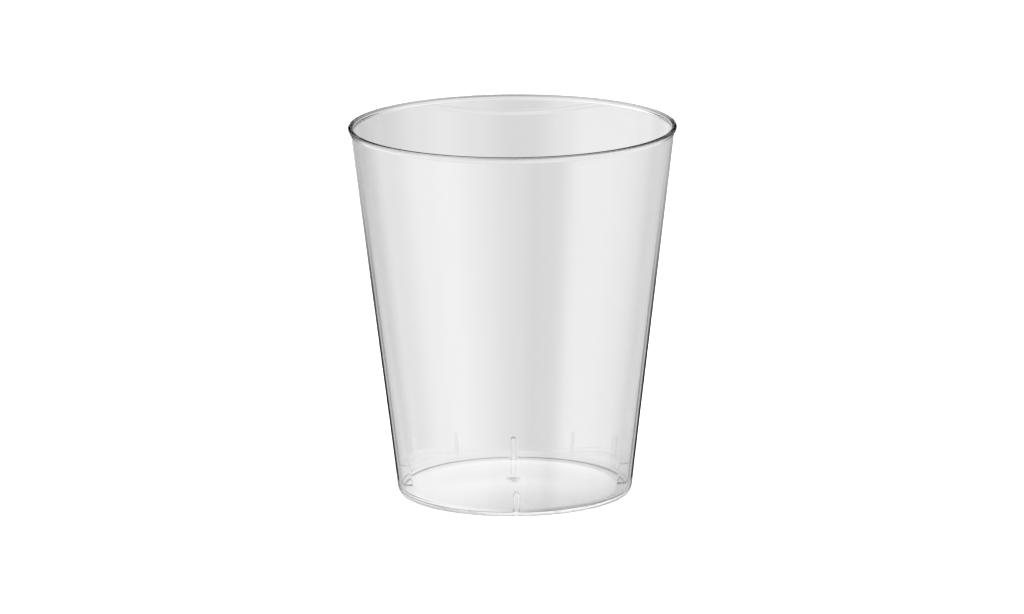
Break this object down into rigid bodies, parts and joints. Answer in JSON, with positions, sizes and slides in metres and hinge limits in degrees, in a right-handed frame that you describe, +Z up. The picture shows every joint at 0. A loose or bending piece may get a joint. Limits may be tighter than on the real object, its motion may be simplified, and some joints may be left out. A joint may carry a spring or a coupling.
{
  "type": "plastic shot glass",
  "caption": "Clear moulded shot glass with a flared wall, a beaded rim, a hollowed foot and short stacking ribs inside.",
  "frame": {"origin": "centre of the foot, on the table that the glass stands on", "axes": "+Z up along the axis of the glass, from the foot to the rim; +X and +Y each through one stacking rib"},
  "size_m": [0.045, 0.045, 0.0511],
  "materials": {
    "clear_plastic": "crystal clear, polished, colourless"
  },
  "bodies": {
    "root": {"shot_glass": "clear_plastic"}
  },
  "joints": []
}
